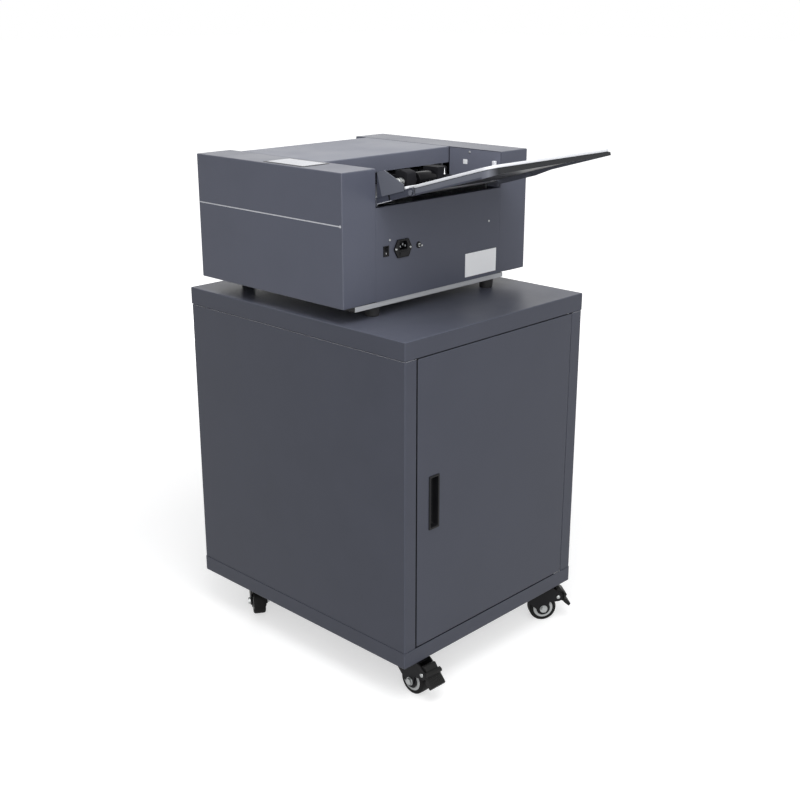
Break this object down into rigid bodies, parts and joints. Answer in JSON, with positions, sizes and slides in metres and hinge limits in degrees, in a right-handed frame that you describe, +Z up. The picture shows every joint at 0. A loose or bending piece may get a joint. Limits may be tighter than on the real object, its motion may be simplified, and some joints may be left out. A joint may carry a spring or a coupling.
{
  "type": "automatic card cutter on a wheeled cabinet",
  "caption": "Desktop sheet-to-card cutter with a folding feed tray, touch screen and hinged top cover, standing on a steel cabinet with a door and swivel casters.",
  "frame": {"origin": "On the floor, under the middle of the cabinet's footprint.", "axes": "+Z up; -Y is the face with the cabinet door, the feed tray and the mains inlet; -X is the side with the touch screen; +Y is the delivery side."},
  "size_m": [0.5611, 0.7676, 1.0934],
  "materials": {
    "slate": "fine powder coat, satin",
    "slate_light": "fine powder coat, satin",
    "slate_inner": "fine powder coat, matt",
    "white_bed": "matt",
    "black_plastic": "moulded, fine grain",
    "screen": "dark glass front",
    "plate_white": "plain film",
    "bright_steel": "zinc plated",
    "tool_steel": "ground",
    "bare_alu": "milled",
    "rubber_foot": "matt",
    "rubber_roller": "ground rubber",
    "black_steel": "black lacquer",
    "caster_tyre": "moulded",
    "caster_core": "moulded",
    "plated_box": "plated sheet"
  },
  "bodies": {
    "cabinet": {"caster_plates": "black_steel", "cabinet_base": "slate", "cabinet_shell": "slate", "cabinet_top": "slate_light", "machine_feet": "rubber_foot", "base_plate": "bare_alu", "frame_left": "bare_alu", "frame_right": "bare_alu", "tie_bars": "bright_steel", "left_cover": "slate_light", "right_cover": "slate_light", "front_panel": "slate_light", "back_panel": "slate_light", "feed_table": "slate_inner", "tray_bracket": "slate_inner", "touch_screen": "screen", "power_inlet": "black_plastic", "switch_housing": "black_plastic", "earth_stud": "bright_steel", "rating_plate": "plate_white", "cover_screws": "bright_steel", "fixed_knife": "tool_steel", "drive_motor": "black_steel", "drive_belt": "rubber_foot", "power_supply": "plated_box"},
    "door": {"cabinet_door": "slate", "door_pull": "black_plastic", "door_pins": "bright_steel"},
    "lid": {"top_cover": "slate_light"},
    "tray": {"feed_tray": "slate_inner", "tray_bed": "white_bed"},
    "side_guide": {"side_guide": "white_bed"},
    "fuse_drawer": {"fuse_drawer": "black_plastic"},
    "rocker": {"switch_rocker": "black_plastic"},
    "pickup_arm": {"pickup_arm": "black_plastic"},
    "pickup_roller": {"pickup_roller": "rubber_roller"},
    "feed_lower": {"feed_roller_lower": "rubber_roller"},
    "feed_upper": {"feed_roller_upper": "rubber_roller"},
    "slitter_lower": {"slitter_lower": "tool_steel"},
    "slitter_upper": {"slitter_upper": "tool_steel"},
    "exit_roller": {"exit_roller": "rubber_roller"},
    "knife": {"knife_beam": "tool_steel"},
    "fork_fl": {"caster_fork_fl": "black_steel", "caster_axle_fl": "bright_steel"},
    "wheel_fl": {"caster_hub_fl": "caster_core", "caster_tyre_fl": "caster_tyre"},
    "pedal_fl": {"brake_pedal_fl": "black_plastic"},
    "fork_fr": {"caster_fork_fr": "black_steel", "caster_axle_fr": "bright_steel"},
    "wheel_fr": {"caster_hub_fr": "caster_core", "caster_tyre_fr": "caster_tyre"},
    "pedal_fr": {"brake_pedal_fr": "black_plastic"},
    "fork_bl": {"caster_fork_bl": "black_steel", "caster_axle_bl": "bright_steel"},
    "wheel_bl": {"caster_hub_bl": "caster_core", "caster_tyre_bl": "caster_tyre"},
    "fork_br": {"caster_fork_br": "black_steel", "caster_axle_br": "bright_steel"},
    "wheel_br": {"caster_hub_br": "caster_core", "caster_tyre_br": "caster_tyre"}
  },
  "joints": [
    {"name": "door_hinge", "type": "hinge", "parent": "cabinet", "child": "door", "pos_m": [0.2295, -0.32, 0.43], "axis": [0, 0, 1], "range_deg": [0, 110]},
    {"name": "swivel_fl", "type": "hinge", "parent": "cabinet", "child": "fork_fl", "pos_m": [-0.208, -0.278, 0.08], "axis": [0, 0, 1], "continuous": true},
    {"name": "wheel_spin_fl", "type": "hinge", "parent": "fork_fl", "child": "wheel_fl", "pos_m": [-0.20863, -0.29599, 0.0315], "axis": [0.9994, -0.0349, 0], "continuous": true},
    {"name": "brake_fl", "type": "hinge", "parent": "fork_fl", "child": "pedal_fl", "pos_m": [-0.20981, -0.32997, 0.0595], "axis": [0.9994, -0.0349, 0], "range_deg": [0, 12]},
    {"name": "swivel_fr", "type": "hinge", "parent": "cabinet", "child": "fork_fr", "pos_m": [0.208, -0.278, 0.08], "axis": [0, 0, 1], "continuous": true},
    {"name": "wheel_spin_fr", "type": "hinge", "parent": "fork_fr", "child": "wheel_fr", "pos_m": [0.22238, -0.28883, 0.0315], "axis": [0.6018, 0.7986, 0], "continuous": true},
    {"name": "brake_fr", "type": "hinge", "parent": "fork_fr", "child": "pedal_fr", "pos_m": [0.24953, -0.30929, 0.0595], "axis": [0.6018, 0.7986, 0], "range_deg": [0, 12]},
    {"name": "swivel_bl", "type": "hinge", "parent": "cabinet", "child": "fork_bl", "pos_m": [-0.208, 0.219, 0.08], "axis": [0, 0, 1], "continuous": true},
    {"name": "wheel_spin_bl", "type": "hinge", "parent": "fork_bl", "child": "wheel_bl", "pos_m": [-0.21807, 0.20408, 0.0315], "axis": [0.829, -0.5592, 0], "continuous": true},
    {"name": "swivel_br", "type": "hinge", "parent": "cabinet", "child": "fork_br", "pos_m": [0.208, 0.219, 0.08], "axis": [0, 0, 1], "continuous": true},
    {"name": "wheel_spin_br", "type": "hinge", "parent": "fork_br", "child": "wheel_br", "pos_m": [0.20184, 0.20209, 0.0315], "axis": [0.9397, -0.342, 0], "continuous": true},
    {"name": "lid_hinge", "type": "hinge", "parent": "cabinet", "child": "lid", "pos_m": [0, 0.231, 1.05], "axis": [-1, 0, 0], "range_deg": [0, 70]},
    {"name": "tray_fold", "type": "hinge", "parent": "cabinet", "child": "tray", "pos_m": [0, -0.25099, 1.0278], "axis": [-1, 0, 0], "range_deg": [0, 70]},
    {"name": "side_guide_slide", "type": "slide", "parent": "cabinet", "child": "side_guide", "axis": [-1, 0, 0], "range_m": [0, 0.085]},
    {"name": "fuse_drawer_slide", "type": "slide", "parent": "cabinet", "child": "fuse_drawer", "axis": [0, -1, 0], "range_m": [0, 0.018]},
    {"name": "switch_rock", "type": "hinge", "parent": "cabinet", "child": "rocker", "pos_m": [-0.159, -0.158, 0.902], "axis": [-1, 0, 0], "range_deg": [0, 16]},
    {"name": "pickup_lift", "type": "hinge", "parent": "cabinet", "child": "pickup_arm", "pos_m": [0, 0.008, 1.0162], "axis": [-1, 0, 0], "range_deg": [0, 5]},
    {"name": "pickup_spin", "type": "hinge", "parent": "pickup_arm", "child": "pickup_roller", "pos_m": [0, -0.112, 1.0223], "axis": [1, 0, 0], "continuous": true},
    {"name": "feed_spin", "type": "hinge", "parent": "cabinet", "child": "feed_lower", "pos_m": [0, 0.008, 0.9918], "axis": [1, 0, 0], "continuous": true},
    {"name": "feed_upper_spin", "type": "hinge", "parent": "cabinet", "child": "feed_upper", "pos_m": [0, 0.008, 1.0162], "axis": [1, 0, 0], "continuous": true},
    {"name": "slitter_lower_spin", "type": "hinge", "parent": "cabinet", "child": "slitter_lower", "pos_m": [0, 0.054, 0.985], "axis": [1, 0, 0], "continuous": true},
    {"name": "slitter_upper_spin", "type": "hinge", "parent": "cabinet", "child": "slitter_upper", "pos_m": [0, 0.054, 1.023], "axis": [1, 0, 0], "continuous": true},
    {"name": "exit_spin", "type": "hinge", "parent": "cabinet", "child": "exit_roller", "pos_m": [0, 0.186, 0.9918], "axis": [1, 0, 0], "continuous": true},
    {"name": "knife_stroke", "type": "slide", "parent": "cabinet", "child": "knife", "axis": [0, 0, -1], "range_m": [0, 0.014]}
  ],
  "couplings": [
    {"joint": "feed_upper_spin", "follows": "feed_spin", "ratio": -1},
    {"joint": "slitter_lower_spin", "follows": "feed_spin", "ratio": 0.59524},
    {"joint": "slitter_upper_spin", "follows": "feed_spin", "ratio": -0.59524},
    {"joint": "exit_spin", "follows": "feed_spin", "ratio": 1},
    {"joint": "pickup_spin", "follows": "feed_spin", "ratio": -0.66667}
  ]
}
